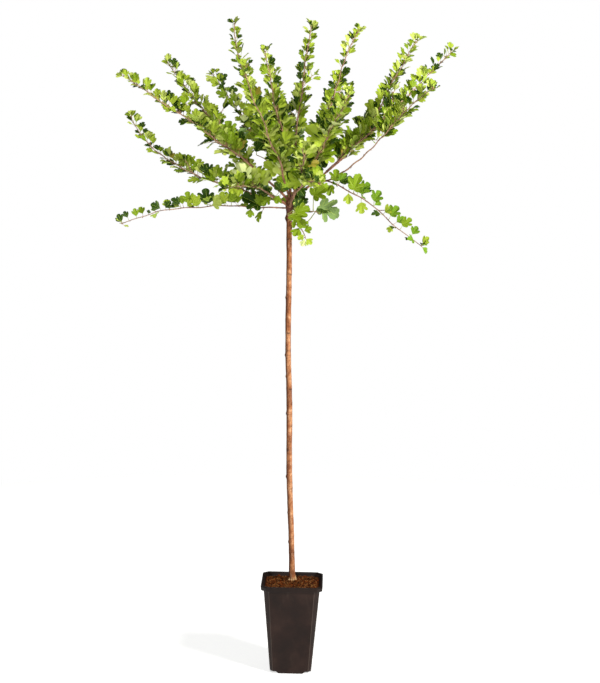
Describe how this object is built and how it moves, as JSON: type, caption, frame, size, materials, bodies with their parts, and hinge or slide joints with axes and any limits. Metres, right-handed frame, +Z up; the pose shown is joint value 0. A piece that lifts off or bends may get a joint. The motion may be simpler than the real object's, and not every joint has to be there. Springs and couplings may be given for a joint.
{
  "type": "standard gooseberry bush in a square pot",
  "caption": "Gooseberry grown as a standard: a tall bare slim stem with a round open crown of leafy shoots, in a tapered square nursery pot of compost.",
  "frame": {"origin": "centre of the flat underside of the pot", "axes": "+Z up along the stem, +X to the plant's right as its front is faced, -Y its front"},
  "size_m": [0.8236, 0.7473, 1.5986],
  "materials": {
    "pot_plastic": "black moulded nursery plastic, soft sheen, slightly dusty",
    "compost": "coarse reddish-brown bark compost",
    "stem_bark": "smooth orange-brown bark with darker patches, fine cracks and buds",
    "shoot_bark": "pinkish brown to grey-brown young bark with small buds",
    "leaf": "matt to slightly glossy green lobed leaves, paler below"
  },
  "bodies": {
    "root": {"pot": "pot_plastic", "soil": "compost", "trunk": "stem_bark", "bough_centre": "shoot_bark", "bough_right_mid": "shoot_bark", "bough_left_high": "shoot_bark", "bough_left_mid": "shoot_bark", "bough_right_tall": "shoot_bark", "bough_back_low": "shoot_bark", "bough_front_low": "shoot_bark", "bough_left_low": "shoot_bark", "bough_right_low": "shoot_bark", "bough_back_low_left": "shoot_bark", "bough_back_low_right": "shoot_bark", "bough_front_low_left": "shoot_bark", "bough_front_low_right": "shoot_bark", "bough_leader": "shoot_bark", "bough_front_left": "shoot_bark", "bough_centre_left": "shoot_bark", "bough_left_inner": "shoot_bark", "bough_right_inner": "shoot_bark", "bough_right_outer": "shoot_bark", "bough_front_right": "shoot_bark", "bough_back_left": "shoot_bark", "bough_back_mid": "shoot_bark", "bough_back_right": "shoot_bark", "foliage_centre": "leaf", "foliage_right_mid": "leaf", "foliage_left_high": "leaf", "foliage_left_mid": "leaf", "foliage_right_tall": "leaf", "foliage_back_low": "leaf", "foliage_front_low": "leaf", "foliage_left_low": "leaf", "foliage_right_low": "leaf", "foliage_back_low_left": "leaf", "foliage_back_low_right": "leaf", "foliage_front_low_left": "leaf", "foliage_front_low_right": "leaf", "foliage_leader": "leaf", "foliage_front_left": "leaf", "foliage_centre_left": "leaf", "foliage_left_inner": "leaf", "foliage_right_inner": "leaf", "foliage_right_outer": "leaf", "foliage_front_right": "leaf", "foliage_back_left": "leaf", "foliage_back_mid": "leaf", "foliage_back_right": "leaf", "foliage_heart_right": "leaf", "foliage_heart_front": "leaf", "foliage_heart_left": "leaf", "foliage_heart_back": "leaf", "foliage_heart_top": "leaf", "foliage_heart_top_left": "leaf", "foliage_heart_top_right": "leaf", "foliage_hanging": "leaf"}
  },
  "joints": []
}
